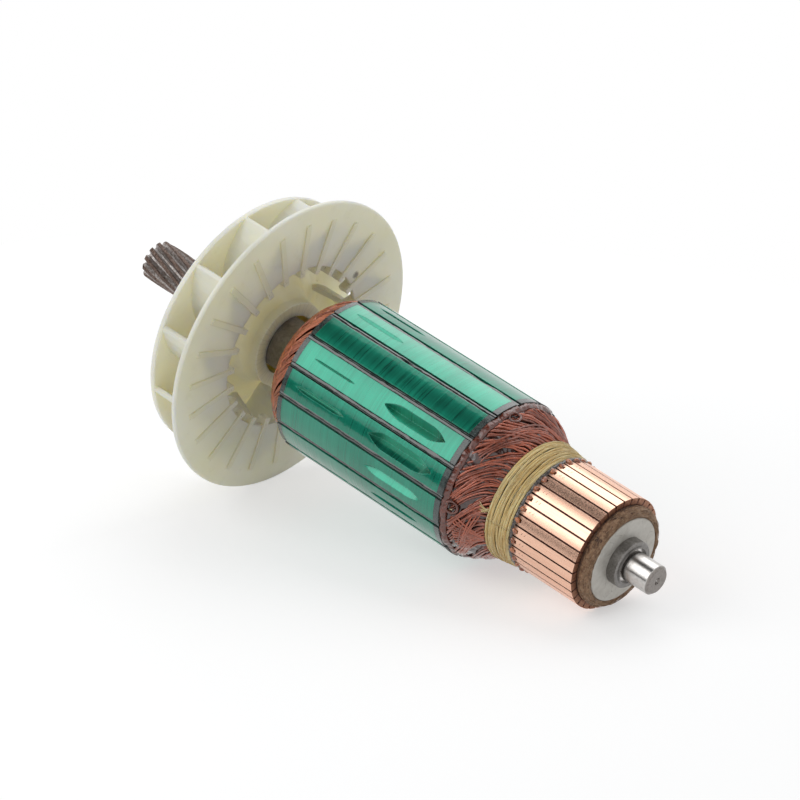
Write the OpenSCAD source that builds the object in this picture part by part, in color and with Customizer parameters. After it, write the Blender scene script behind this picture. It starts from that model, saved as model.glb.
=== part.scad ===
// Motor armature: shaft with helical pinion, wound core, commutator and fan.
// Millimetres. The shaft lies along X, commutator end towards -X, pinion
// towards +X. The origin is the middle of the commutator-end bearing seat.

/* [Shaft] */
// diameter of the commutator-end bearing seat
journal_d = 10; // [6:0.1:14]
// length of the commutator-end bearing seat
journal_len = 9.2; // [5:0.1:16]
// chamfer at the commutator end of the shaft
tip_chamfer = 0.9; // [0.2:0.1:1.6]
// shaft diameter inside the spacer collar
collar_seat_d = 12; // [9:0.1:15]
// shaft diameter inside the commutator
comm_seat_d = 15; // [12:0.1:18]
// shaft diameter inside the core
core_seat_d = 17; // [13:0.1:22]
// shaft diameter inside the fan bush
bush_seat_d = 16; // [12:0.1:20]
// diameter of the drive-end bearing seat
drive_journal_d = 15; // [10:0.1:20]
// length of the drive-end bearing seat
drive_journal_len = 13; // [8:0.5:20]
// diameter of the neck between bearing seat and pinion
neck_d = 9.4; // [7:0.1:13]
// length of the neck between bearing seat and pinion
neck_len = 2.5; // [1:0.1:6]
// diameter of the centre hole at each end
centre_hole_d = 2.4; // [1:0.1:4]

/* [Pinion] */
// number of teeth
pinion_teeth = 12; // [6:1:16]
// diameter over the teeth
pinion_d = 13.8; // [9:0.1:18]
// diameter at the tooth roots
pinion_root_d = 10; // [6:0.1:14]
// length of the toothed part
pinion_len = 28; // [12:0.5:40]
// turn of the teeth, in degrees for each millimetre of length
pinion_twist = 2.65; // [0:0.05:5]
// chamfer at the free end of the teeth
pinion_chamfer = 0.7; // [0.2:0.1:1.5]

/* [Collar and washer] */
// outside diameter of the spacer collar
collar_d = 15.8; // [12:0.1:22]
// length of the spacer collar
collar_len = 3.7; // [1.5:0.1:8]
// how far the shaft step sits back inside the collar
collar_recess = 0.8; // [0.2:0.1:2]
// edge chamfer of the collar
collar_chamfer = 0.4; // [0.1:0.1:1]
// outside diameter of the end washer
washer_d = 28.5; // [20:0.1:34]
// thickness of the end washer
washer_t = 1.6; // [0.8:0.1:3]

/* [Commutator] */
// number of bars
bar_count = 32; // [16:2:48]
// diameter of the brush track
comm_d = 38.2; // [28:0.1:50]
// length of the bars
bar_len = 25.5; // [16:0.5:40]
// depth from the brush track to the end notch of a bar
bar_lip = 2.2; // [1.2:0.1:4]
// depth from the brush track to the waist of a bar
bar_waist = 3.7; // [2.5:0.1:6]
// depth from the brush track to the foot of a bar
bar_depth = 5.5; // [4:0.1:8]
// thickness of the mica between bars
mica_t = 0.6; // [0.3:0.05:1.2]
// how far the mica is cut back below the track
undercut = 0.9; // [0.3:0.1:1.5]
// length of the wire slot at the back of a bar
riser_len = 2.4; // [1:0.1:5]
// width of the wire slot at the back of a bar
riser_slot_w = 1.2; // [0.8:0.1:2]
// depth of the wire slot at the back of a bar
riser_slot_depth = 2.1; // [1:0.1:3]
// radius of the solder and varnish bead on each wire slot
bead_r = 1.05; // [0.6:0.05:1.5]
// how far the front ring stands out from the bars
front_ring_out = 3.4; // [1:0.1:6]
// outside diameter of the steel bush in the commutator
comm_bush_d = 22.4; // [17:0.1:26]

/* [Leads and twine] */
// diameter of the leads
lead_d = 1.1; // [0.6:0.05:1.6]
// gap between the commutator and the first turn of twine
twine_gap = 0.6; // [0.2:0.1:2]
// number of turns of twine side by side
twine_turns = 9; // [4:1:16]
// width of one turn of twine
twine_pitch = 0.98; // [0.6:0.02:1.6]
// height of the twine above the tape
twine_h = 0.95; // [0.4:0.05:2]
// how much the twine grows in radius towards the core
twine_rise = 1.2; // [0:0.1:3]
// thickness of the tape under the twine at its thin end
tape_t = 0.25; // [0.1:0.05:0.8]

/* [Core] */
// number of slots
slot_count = 16; // [8:1:24]
// outside diameter of the lamination stack
core_d = 54.2; // [36:0.1:70]
// length of the lamination stack
core_len = 67.3; // [30:0.5:100]
// width of the slot opening
slot_open_w = 1.9; // [1:0.1:3.5]
// radius of the slot floor
slot_floor_r = 15.4; // [12:0.1:20]
// width of the slot at its floor
slot_floor_w = 2.1; // [1.2:0.1:4]
// depth of the tooth tips beside the opening
tooth_tip_t = 1.9; // [1:0.1:3]
// height of the sloped shoulders under the tooth tips
tooth_shoulder = 1.2; // [0.5:0.1:2.5]
// width of the slot under its shoulders
slot_body_w = 5.3; // [3:0.1:7]
// how far the slot wedge sits below the core surface
wedge_sink = 0.55; // [0.1:0.05:1.5]
// thickness of the slot liner
liner_t = 0.3; // [0.15:0.05:0.6]
// thickness of the end plate at the commutator end
front_plate_t = 2.2; // [0.8:0.1:4]
// thickness of the end plate at the drive end
rear_plate_t = 1.8; // [0.8:0.1:4]
// outside diameter of the insulating sleeve on the shaft
sleeve_d = 20; // [16:0.1:24]

/* [Balance cuts] */
// radius of the milling wheel
cut_wheel_r = 12; // [6:0.5:20]
// travel of the milling wheel along the core
cut_travel = 12; // [2:0.5:20]
// distance of the first row of cuts from the commutator end of the core
cut_front_at = 18; // [12:0.5:30]
// distance of the second row of cuts from the commutator end of the core
cut_rear_at = 53; // [40:0.5:58]
// depth of the deepest cut
cut_depth_max = 2.8; // [0.5:0.1:3.5]

/* [Winding] */
// number of coil bundles on the commutator-end head
front_bundles = 32; // [16:16:48]
// number of coil bundles on the drive-end head
rear_bundles = 16; // [8:8:32]
// length of the commutator-end winding head
front_head_len = 13.2; // [8:0.1:24]
// length of the drive-end winding head
rear_head_len = 13.6; // [8:0.1:24]
// radial thickness of the commutator-end bundles
front_bundle_h = 3; // [1.5:0.1:4]
// radial thickness of the drive-end bundles
rear_bundle_h = 2.6; // [1.5:0.1:4]
// turn of each commutator-end bundle from slot to twine
front_sweep = 34; // [10:1:60]
// turn of each drive-end bundle from slot to hub
rear_sweep = 62; // [20:1:90]
// side clearance between neighbouring bundles
bundle_gap = 0.12; // [0.04:0.02:0.6]

/* [Fan] */
// number of blades between the shroud and the back plate
blade_count = 12; // [6:1:18]
// outside diameter of the inlet shroud
shroud_d = 102.2; // [70:0.2:130]
// diameter of the air inlet
inlet_d = 57.2; // [40:0.2:70]
// thickness of the inlet shroud
shroud_t = 1.5; // [1:0.1:3]
// outside diameter of the back plate
back_d = 88.4; // [60:0.2:120]
// thickness of the back plate
back_t = 1.7; // [1:0.1:3]
// distance from the shroud front to the back of the back plate
fan_depth = 18.8; // [12:0.1:28]
// thickness of the blades
blade_t = 1.9; // [1:0.1:3]
// radius at the inner ends of the blades beside the back plate
blade_in_r = 24.5; // [20:0.1:30]
// turn of a blade from its inner end to the rim, in degrees
blade_sweep = 34; // [0:1:60]
// number of ribs on the inlet shroud
rib_count = 24; // [12:1:36]
// width of the ribs
rib_w = 1.9; // [1:0.1:3]
// radius at the inner ends of the ribs
rib_in_r = 26; // [20:0.1:28]
// radius at the outer ends of the ribs
rib_out_r = 45; // [32:0.1:50]
// how far the ribs stand out in front of the shroud
rib_front = 0.4; // [0.1:0.1:1]
// how far the ribs stand out behind the shroud
rib_rear = 1.6; // [0.2:0.1:4]
// outside radius of the hub at its front
hub_r = 14.8; // [12:0.1:18]
// wall of the hub and its flare
hub_wall = 2.2; // [1.2:0.1:3.5]
// how far the hub stands out behind the back plate
hub_back = 1.5; // [0:0.1:6]
// outside diameter of the steel bush in the fan
fan_bush_d = 20.8; // [17:0.1:26]
// distance across the two flats of the bush
bush_flats = 17.7; // [16.5:0.1:20]
// gap between the drive-end winding and the shroud front
fan_gap = 7.6; // [3:0.1:16]

/* [Clearances] */
// radial clearance between parts that are only slipped together
slip = 0.02; // [0.01:0.01:0.1]

/* [Hidden] */
eps = 0.01;
// positions along the shaft
x_tip = -journal_len / 2 - tip_chamfer;
x_collar = journal_len / 2;
x_washer = x_collar + collar_len;
x_bar = x_washer + washer_t + front_ring_out - 1;
x_bar_end = x_bar + bar_len;
x_twine = x_bar_end + twine_gap;
twine_len = twine_turns * twine_pitch;
x_head = x_twine + twine_len + 0.2;
x_plate = x_head + front_head_len;
x_core = x_plate + front_plate_t;
x_core_end = x_core + core_len;
x_head2 = x_core_end + rear_plate_t;
x_head2_end = x_head2 + rear_head_len;
x_bush = x_head2_end + 0.3;
x_shroud = x_head2_end + fan_gap;
x_back = x_shroud + fan_depth;
x_fan_end = x_back + hub_back;
x_drive = x_fan_end;
x_neck = x_drive + drive_journal_len;
x_pinion = x_neck + neck_len;
x_end = x_pinion + pinion_len;
// radii
track_r = comm_d / 2;
core_r = core_d / 2;
sleeve_r = sleeve_d / 2;
lip_r = track_r - bar_lip;
waist_r = track_r - bar_waist;
foot_r = track_r - bar_depth;
lead_r = track_r - riser_slot_depth + lead_d / 2 + 0.05;
tape_r = lead_r + lead_d / 2 + 0.12;
neck_r = core_r - tooth_tip_t;
body_r = neck_r - tooth_shoulder;
// angles, turned about the shaft from +Y towards +Z
slot_turn = 4.7;
tooth_turn = slot_turn + 180 / slot_count;
bar_turn = 3.95;
mica_turn = bar_turn + 180 / bar_count;
blade_turn = 16;
rib_turn = 13;
flat_turn = -53.5;
tooth_end_turn = 24.8;
// a depth of cut for each core tooth, as a share of the deepest
front_cuts = [[0, 1], [1, 0.84], [-1, 0.6], [-2, 0.3]];
rear_cuts = [[0, 0.34], [1, 0.13], [3, 0.3], [4, 0.28]];

// stands children up along the shaft: local x, y, z become Y, Z, X
module along(x) { translate([x, 0, 0]) rotate([90, 0, 90]) children(); }
// turns children round the shaft
module turned(t) { rotate([t, 0, 0]) children(); }
module rod(x0, x1, r, n = 96) { along(x0) cylinder(h = x1 - x0, r = r, $fn = n); }
module cone(x0, x1, r0, r1, n = 96) {
  along(x0) cylinder(h = x1 - x0, r1 = r0, r2 = r1, $fn = n);
}
module tube(x0, x1, ri, ro, n = 96) {
  difference() { rod(x0, x1, ro, n); rod(x0 - 1, x1 + 1, ri, n); }
}
// turns a profile given as [x, r] points round the shaft
module lathe(points, n = 96) {
  rotate([90, 0, 90]) rotate_extrude($fn = n)
    polygon([for (p = points) [p[1], p[0]]]);
}

// a tube through a list of centres with a width and a height at each
function unit(v) = v / norm(v);
// the first section stands square to the shaft, and so does the last if asked
function flat_dir(v) = [sign(v[0]), 0, 0];
function dir_at(c, i, last) = i == 0 ? flat_dir(c[1] - c[0])
  : i == len(c) - 1 ? (last ? flat_dir(c[i] - c[i - 1]) : unit(c[i] - c[i - 1]))
  : unit(c[i + 1] - c[i - 1]);
function out_at(p) = unit([0, p[1], p[2]]);
function rim(c, i, w, h, m, last) = let (d = dir_at(c, i, last), o = out_at(c[i]),
    s = unit(cross(d, o)), u = cross(s, d))
  [for (k = [0:m - 1]) c[i] + s * w * cos(k * 360 / m) + u * h * sin(k * 360 / m)];
// half the room across a bundle, where copies stand step degrees apart
function slope(v, p) = let (t = unit([0, -p[2], p[1]])) abs(v * t) / norm(v);
function tight(c, i) = max(slope(c[min(i + 1, len(c) - 1)] - c[min(i, len(c) - 2)], c[i]),
  slope(c[max(i, 1)] - c[max(i - 1, 0)], c[i]));
function half_room(c, i, step) = norm([c[i][1], c[i][2]]) * step * PI / 360
  * 0.96 * sqrt(1 - pow(tight(c, i), 2));
module bundle(c, w, h, last = false, m = 8) {
  n = len(c);
  pts = [for (i = [0:n - 1]) for (p = rim(c, i, w[i], h[i], m, last)) p];
  sides = [for (i = [0:n - 2]) for (k = [0:m - 1]) let (j = (k + 1) % m)
    for (f = [[i * m + k, (i + 1) * m + j, i * m + j],
              [i * m + k, (i + 1) * m + k, (i + 1) * m + j]]) f];
  caps = [[for (k = [0:m - 1]) k], [for (k = [m - 1:-1:0]) (n - 1) * m + k]];
  polyhedron(points = pts, faces = concat(sides, caps));
}

// slot outlines, seen along the shaft with the slot on local +x
module slot_hole() {
  polygon([[slot_floor_r, slot_floor_w / 2], [body_r, slot_body_w / 2],
    [neck_r, slot_open_w / 2], [core_r + 1, slot_open_w / 2],
    [core_r + 1, -slot_open_w / 2], [neck_r, -slot_open_w / 2],
    [body_r, -slot_body_w / 2], [slot_floor_r, -slot_floor_w / 2]]);
}
function body_w(r) = slot_floor_w + (slot_body_w - slot_floor_w)
  * (r - slot_floor_r) / (body_r - slot_floor_r);
// a block that fills the slot between two radii, set in from the walls
module slot_fill(r0, r1, inset) {
  a = body_w(r0) / 2 - inset;
  b = body_w(r1) / 2 - inset;
  polygon([[r0, a], [r1, b], [r1, -b], [r0, -a]]);
}
module each_slot() {
  for (i = [0:slot_count - 1]) rotate(slot_turn + i * 360 / slot_count) children();
}

module pinion_section() {
  rr = pinion_root_d / 2;
  rt = pinion_d / 2;
  rm = rr + 0.55 * (rt - rr);
  pitch = 360 / pinion_teeth;
  polygon([for (i = [0:pinion_teeth - 1])
    for (p = [[-0.38, rr], [-0.27, rm], [-0.14, rt], [0.14, rt], [0.27, rm], [0.38, rr]])
      let (a = (i + p[0]) * pitch) [p[1] * cos(a), p[1] * sin(a)]]);
}
module pinion() {
  intersection() {
    along(x_pinion) rotate(tooth_end_turn - pinion_len * pinion_twist)
      linear_extrude(height = pinion_len, twist = -pinion_len * pinion_twist, slices = 11)
        pinion_section();
    union() {
      cone(x_pinion, x_pinion + 1.5, neck_d / 2 + 0.1, pinion_d / 2 + 0.2);
      rod(x_pinion + 1.5, x_end - pinion_chamfer, pinion_d / 2 + 0.2);
      cone(x_end - pinion_chamfer, x_end, pinion_d / 2 + 0.2,
        pinion_d / 2 + 0.2 - pinion_chamfer);
    }
  }
}
module shaft() {
  jr = journal_d / 2;
  color("#9a9896") difference() {
    union() {
      cone(x_tip, x_tip + tip_chamfer, jr - tip_chamfer, jr);
      rod(x_tip + tip_chamfer, x_collar, jr);
      rod(x_collar, x_collar + collar_recess, jr - 0.2);
      rod(x_collar + collar_recess, x_washer, collar_seat_d / 2);
      rod(x_washer, x_head, comm_seat_d / 2);
      rod(x_head, x_bush, core_seat_d / 2);
      rod(x_bush, x_drive, bush_seat_d / 2);
      rod(x_drive, x_neck, drive_journal_d / 2);
      rod(x_neck, x_pinion + 1, neck_d / 2);
      pinion();
    }
    cone(x_tip - eps, x_tip + 1.2, centre_hole_d / 2, centre_hole_d / 2 - 0.7, 32);
    rod(x_tip, x_tip + 3, centre_hole_d / 2 - 0.7, 32);
    cone(x_end - 2, x_end + eps, centre_hole_d / 2 - 0.7, centre_hole_d / 2 + 0.6, 32);
  }
}
module spacer_collar() {
  r = collar_d / 2;
  color("#57524e") difference() {
    union() {
      cone(x_collar, x_collar + collar_chamfer, r - collar_chamfer, r);
      rod(x_collar + collar_chamfer, x_washer, r);
      rod(x_collar - 0.2, x_collar + 0.2, collar_seat_d / 2 + 0.55);
    }
    rod(x_collar - 1, x_washer + 1, collar_seat_d / 2);
  }
}
module end_washer() {
  r = washer_d / 2;
  color("#b9b4a9") difference() {
    union() {
      cone(x_washer, x_washer + 0.25, r - 0.25, r);
      rod(x_washer + 0.25, x_washer + washer_t, r);
    }
    rod(x_washer - 1, x_washer + washer_t + 1, comm_seat_d / 2);
  }
}
module front_ring() {
  xf = x_washer + 0.45;
  xs = x_washer + washer_t;
  wr = washer_d / 2 + slip;
  g = 6 * slip;
  color("#9b7148") lathe([[xf, wr], [xf - 0.15, wr + 1.1], [xf + 0.5, lip_r - 0.5],
    [x_bar - g, lip_r - 0.1], [x_bar - g, lip_r - g], [x_bar + 3.2 - g, waist_r - g],
    [x_bar + 1.8 - g, foot_r - g], [x_bar + 1.8 - g, comm_bush_d / 2 + slip],
    [xs, comm_bush_d / 2 + slip], [xs, wr]]);
}
module bar_profile(top) {
  lathe([[x_bar, top], [x_bar_end, top], [x_bar_end, lip_r],
    [x_bar_end - 3.2, waist_r], [x_bar_end - 1.8, foot_r],
    [x_bar + 1.8, foot_r], [x_bar + 3.2, waist_r], [x_bar, lip_r]], 128);
}
module radial_plates(turn, w, x0, x1, r0, r1) {
  for (i = [0:bar_count - 1]) turned(turn + i * 360 / bar_count)
    translate([x0, r0, -w / 2]) cube([x1 - x0, r1 - r0, w]);
}
module commutator_bars() {
  color("#d99a78") difference() {
    bar_profile(track_r);
    radial_plates(mica_turn, mica_t, x_bar - 1, x_bar_end + 1, 5, track_r + 1);
    radial_plates(bar_turn, riser_slot_w, x_bar_end - riser_len, x_bar_end + 1,
      track_r - riser_slot_depth, track_r + 1);
  }
}
module mica_segments() {
  color("#5c2a1c") intersection() {
    bar_profile(track_r - undercut);
    radial_plates(mica_turn, mica_t, x_bar - 1, x_bar_end + 1, 5, track_r + 1);
  }
}
module commutator_moulding() {
  color("#4a3328") tube(x_bar + 1.8, x_bar_end - 1.8, comm_bush_d / 2, foot_r);
}
module commutator_bush() {
  color("#7d7b78") tube(x_washer + washer_t, x_bar_end + 0.2, comm_seat_d / 2,
    comm_bush_d / 2);
}
module rear_ring() {
  g = 6 * slip;
  br = comm_bush_d / 2 + slip;
  color("#4a3328") lathe([[x_bar_end, lip_r - g], [x_bar_end - 3.2 + g, waist_r - g],
    [x_bar_end - 1.8 + g, foot_r - g], [x_bar_end - 1.8 + g, br],
    [x_bar_end + 0.2, br], [x_bar_end + 0.2, lip_r - g]]);
}
module riser_beads() {
  x = x_bar_end - riser_len / 2;
  color("#c4672a") union() {
    difference() {
      for (i = [0:bar_count - 1]) turned(bar_turn + i * 360 / bar_count)
        translate([x, track_r - 0.1, 0]) sphere(r = bead_r, $fn = 16);
      rod(x - 3, x + 3, track_r, 128);
    }
    radial_plates(bar_turn, riser_slot_w - 2 * slip, x_bar_end - riser_len + slip,
      x_bar_end, tape_r, track_r + 0.15);
  }
}
module lead_wires() {
  color("#7a2f1e") for (i = [0:bar_count - 1]) turned(bar_turn + i * 360 / bar_count)
    translate([0, lead_r, 0])
      rod(x_bar_end - riser_len + slip, x_head - slip, lead_d / 2, 16);
}
module lead_support() {
  color("#3c2a22") tube(x_bar_end + 0.2, x_head - slip, comm_seat_d / 2,
    lead_r - lead_d / 2 - slip);
}
module lead_tape() {
  color("#2e2926") lathe([[x_bar_end + 0.1, tape_r], [x_head - slip, tape_r],
    [x_head - slip, tape_r + tape_t + twine_rise],
    [x_twine, tape_r + tape_t], [x_bar_end + 0.1, tape_r + tape_t + 0.6]]);
}
function tape_top(s) = tape_r + tape_t + twine_rise * s / (twine_len + 0.2 - slip);
module binding_twine() {
  p = twine_pitch;
  strand = [[0.04, 0.45], [0.25, 0.9], [0.5, 1], [0.75, 0.9], [0.96, 0.45]];
  crown = [for (i = [0:twine_turns - 1]) for (q = strand)
    let (s = (i + q[0]) * p) [x_twine + s, tape_top(s) + slip + twine_h * q[1]]];
  base = [[x_twine + twine_len, tape_top(twine_len) + slip], [x_twine, tape_top(0) + slip]];
  color("#dfc07a") lathe(concat(crown, base), 72);
}
module twine_tail() {
  color("#dfc07a") turned(2.5) translate([x_head + 0.1, 0, 0]) {
    a = tape_top(twine_len) + 2.9;
    bundle([[-1, a - 1.55, 0], [0.8, a - 0.55, -0.1], [2.4, a - 0.05, -0.5], [3.6, a + 0.4, -1.3]],
      [0.4, 0.5, 0.5, 0.7], [0.3, 0.42, 0.4, 0.3]);
  }
}

// the windings stand at one radius in the slots and at another under the twine
fb = front_bundle_h / 2;
coil_r = body_r - 1.8;
lead_end_r = tape_r + tape_t + twine_rise + 0.08;
hub_end_r = sleeve_r + 3;
function blend_r(inner, share, bulge) = inner + (coil_r - inner) * share + bulge;
// commutator-end bundles: share of the head length, radius as a share and a
// bulge, share of turn
front_shape = [[0, 1, 0, 0], [0.08, 1, 0.6, 0.02], [0.2, 1, 1.1, 0.12], [0.38, 0.8, 1.2, 0.34],
  [0.58, 0.5, 0.8, 0.6], [0.78, 0.2, 0.4, 0.86], [0.92, 0.05, 0.16, 0.98], [1, 0, 0, 1]];
front_path = [for (q = front_shape) [q[0], blend_r(lead_end_r, q[1], q[2]), q[3]]];
function front_x(s) = x_plate - 0.15 - s * (front_head_len - 0.3);
module coil_bundles_front() {
  step = 360 / front_bundles;
  c = [for (q = front_path) let (t = front_sweep * q[2])
    [front_x(q[0]), q[1] * cos(t), q[1] * sin(t)]];
  w = [for (i = [0:7]) half_room(c, i, step) - bundle_gap];
  h = [for (q = front_path) fb];
  color("#8a3a24") for (i = [0:front_bundles - 1]) turned(slot_turn + i * step)
    bundle(c, w, h, true);
}
module head_core_front() {
  low = [for (q = front_path) [front_x(q[0]), q[1] - fb - 0.3]];
  color("#4e2018") lathe(concat([[x_plate - slip, low[0][1]]], low,
    [[x_head, low[len(low) - 1][1]], [x_head, sleeve_r], [x_plate - slip, sleeve_r]]));
}
module resin_ring() {
  color("#6d2417") lathe([[x_plate, core_r - 0.15], [x_plate - 1, core_r - 0.3],
    [x_plate - 1.7, core_r - 1.1], [x_plate - 1.8, core_r - 1.75],
    [x_plate - 0.5, core_r - 3], [x_plate, core_r - 3]]);
}

module plate_outline() {
  difference() {
    circle(r = core_r, $fn = 128);
    circle(r = sleeve_r, $fn = 96);
    each_slot() slot_hole();
  }
}
module end_plate_front() {
  color("#1d2222") along(x_plate) linear_extrude(height = front_plate_t) plate_outline();
}
module end_plate_rear() {
  color("#1d2222") along(x_core_end) linear_extrude(height = rear_plate_t) plate_outline();
}
module slot_run(x0, x1) { along(x0) linear_extrude(height = x1 - x0) children(); }
module slot_liners() {
  color("#c9b48a") slot_run(x_plate, x_head2) each_slot() difference() {
    slot_fill(slot_floor_r + slip, body_r, slip);
    slot_fill(slot_floor_r + slip + liner_t, body_r + 1, slip + liner_t);
  }
}
mid_r = (slot_floor_r + body_r) / 2 + 0.4;
module slot_coils_lower() {
  color("#7a2f1e") slot_run(x_plate, x_head2) each_slot()
    slot_fill(slot_floor_r + liner_t + 2 * slip, mid_r - slip, liner_t + 2 * slip);
}
module slot_coils_upper() {
  color("#7a2f1e") slot_run(x_plate, x_head2) each_slot()
    slot_fill(mid_r + slip, body_r - slip, liner_t + 2 * slip);
}
module slot_wedges() {
  top = core_r - wedge_sink;
  color("#141a19") slot_run(x_plate, x_head2) each_slot()
    polygon([[body_r + slip, slot_body_w / 2 - 0.15], [neck_r, slot_open_w / 2 - slip],
      [top, slot_open_w / 2 - slip], [top, -slot_open_w / 2 + slip],
      [neck_r, -slot_open_w / 2 + slip], [body_r + slip, -slot_body_w / 2 + 0.15]]);
}
// the space swept by a V-edged milling wheel moving along the core
module balance_cut(tooth, depth, at) {
  r = cut_wheel_r;
  turned(tooth_turn + tooth * 360 / slot_count)
    translate([x_core + at, core_r - depth + r, 0]) {
      for (s = [-1, 1]) translate([s * cut_travel / 2, 0, 0]) {
        cylinder(h = r, r1 = r, r2 = 0, $fn = 64);
        mirror([0, 0, 1]) cylinder(h = r, r1 = r, r2 = 0, $fn = 64);
      }
      translate([-cut_travel / 2, 0, 0]) rotate([90, 0, 90])
        linear_extrude(height = cut_travel) polygon([[-r, 0], [0, r], [r, 0], [0, -r]]);
    }
}
module core_stack() {
  color("#0f7d5e") difference() {
    along(x_core) linear_extrude(height = core_len) plate_outline();
    for (c = front_cuts) balance_cut(c[0], c[1] * cut_depth_max, cut_front_at);
    for (c = rear_cuts) balance_cut(c[0], c[1] * cut_depth_max, cut_rear_at);
  }
}
module shaft_sleeve() {
  color("#2b2522") tube(x_head, x_bush, core_seat_d / 2, sleeve_r);
}

// drive-end bundles: share of the head length, radius as a share and a bulge,
// share of turn
rb = rear_bundle_h / 2;
rear_shape = [[0.02, 1, 0.1, 0], [0.15, 1, 0.8, 0.03], [0.27, 1, 1.3, 0.13], [0.41, 0.95, 1, 0.29],
  [0.55, 0.8, 1, 0.5], [0.7, 0.56, 0.7, 0.72], [0.81, 0.27, 0.3, 0.9], [0.88, 0, 0, 1]];
rear_path = [for (q = rear_shape) [q[0], blend_r(hub_end_r, q[1], q[2]), q[3]]];
function rear_x(s) = x_head2 + s * rear_head_len;
module coil_bundles_rear() {
  step = 360 / rear_bundles;
  c = [for (q = rear_path) let (t = -rear_sweep * q[2])
    [rear_x(q[0]), q[1] * cos(t), q[1] * sin(t)]];
  w = [for (i = [0:7]) min(half_room(c, i, step), 0.45 * slot_body_w) - bundle_gap];
  h = [for (i = [0:7]) rb * (i < 5 ? 1 : 0.8)];
  color("#a8492c") for (i = [0:rear_bundles - 1]) turned(slot_turn + i * step)
    bundle(c, w, h);
}
module head_core_rear() {
  low = [for (q = rear_path) [rear_x(q[0]), q[1] - rb - 0.45]];
  color("#6a3020") lathe([[x_head2 + slip, low[0][1]], [rear_x(0.05), low[1][1]],
    [rear_x(0.18), low[2][1]], [rear_x(0.33), low[3][1]], [rear_x(0.47), low[4][1]],
    [rear_x(0.6), low[5][1]], [rear_x(0.7), low[6][1] - 0.3], [rear_x(0.76), sleeve_r + 1.4],
    [rear_x(0.8), sleeve_r], [x_head2 + slip, sleeve_r]]);
}
module fan_bush() {
  color("#5c5650") difference() {
    intersection() {
      rod(x_bush, x_fan_end, fan_bush_d / 2);
      turned(flat_turn) translate([x_bush - 1, -bush_flats / 2, -fan_bush_d])
        cube([x_fan_end - x_bush + 2, bush_flats, 2 * fan_bush_d]);
    }
    rod(x_bush - 1, x_fan_end + 1, bush_seat_d / 2);
  }
}
// a blade's middle line leans back as it nears the rim
function blade_at(k) = let (r = blade_in_r - 1 + (back_d / 2 + 1 - blade_in_r) * k,
    a = -blade_sweep * pow(1 - k, 0.85)) [r * cos(a), r * sin(a)];
function blade_side(k, w) = let (d = unit(blade_at(k + 0.01) - blade_at(k - 0.01)))
  blade_at(k) + w * [-d[1], d[0]];
module blade_outline() {
  ks = [for (i = [0:10]) 0.02 + 0.096 * i];
  polygon(concat([for (k = ks) blade_side(k, blade_t / 2)],
    [for (i = [10:-1:0]) blade_side(ks[i], -blade_t / 2)]));
}
module rib_outline() {
  translate([rib_in_r, -rib_w / 2]) square([rib_out_r - rib_w / 2 - rib_in_r, rib_w]);
  translate([rib_out_r - rib_w / 2, 0]) circle(r = rib_w / 2, $fn = 32);
}
module fan() {
  br = fan_bush_d / 2 + 3 * slip;
  xd = x_back - back_t;
  xh = x_shroud + 1.1;
  flare = xd - xh;
  ri = inlet_d / 2;
  ro = shroud_d / 2;
  front = [for (k = [0:8]) [xh + flare * sin(k * 11.25), hub_r + flare * (1 - cos(k * 11.25))]];
  back = [for (k = [7:-1:1]) [xh + back_t + hub_wall + (flare - hub_wall) * sin(k * 11.25),
    hub_r + flare * (1 - cos(k * 11.25)) + 0.4]];
  color("#efe9cf") union() {
    lathe([[x_shroud, ri], [x_shroud, ro - 0.4], [x_shroud + 0.4, ro],
      [x_shroud + shroud_t, ro], [x_shroud + shroud_t, ri]], 128);
    lathe(concat([[xh, br]], front, [[xd, back_d / 2], [x_back, back_d / 2]],
      [[x_back, hub_r + flare + 0.4]], back,
      [[xh + back_t + hub_wall, br + hub_wall], [x_fan_end, br + hub_wall],
       [x_fan_end, br]]), 128);
    intersection() {
      along(x_shroud + 0.2) linear_extrude(height = xd + 0.3 - x_shroud)
        for (i = [0:blade_count - 1]) rotate(blade_turn + i * 360 / blade_count)
          blade_outline();
      lathe([[x_shroud, ri + 0.5], [x_shroud, back_d / 2 - 0.1], [xd + 1, back_d / 2 - 0.1],
        [xd + 1, blade_in_r], [xd - 1, blade_in_r]], 128);
    }
    along(x_shroud - rib_front) linear_extrude(height = rib_front + shroud_t + rib_rear)
      for (i = [0:rib_count - 1]) rotate(rib_turn + i * 360 / rib_count) rib_outline();
  }
}

shaft();
spacer_collar();
end_washer();
front_ring();
commutator_bars();
mica_segments();
commutator_moulding();
commutator_bush();
rear_ring();
riser_beads();
lead_wires();
lead_support();
lead_tape();
binding_twine();
twine_tail();
head_core_front();
coil_bundles_front();
resin_ring();
end_plate_front();
end_plate_rear();
slot_liners();
slot_coils_lower();
slot_coils_upper();
slot_wedges();
core_stack();
shaft_sleeve();
head_core_rear();
coil_bundles_rear();
fan_bush();
fan();
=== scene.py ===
import bpy
import math
import random
import numpy as np
from mathutils import Matrix, Vector, noise

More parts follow.
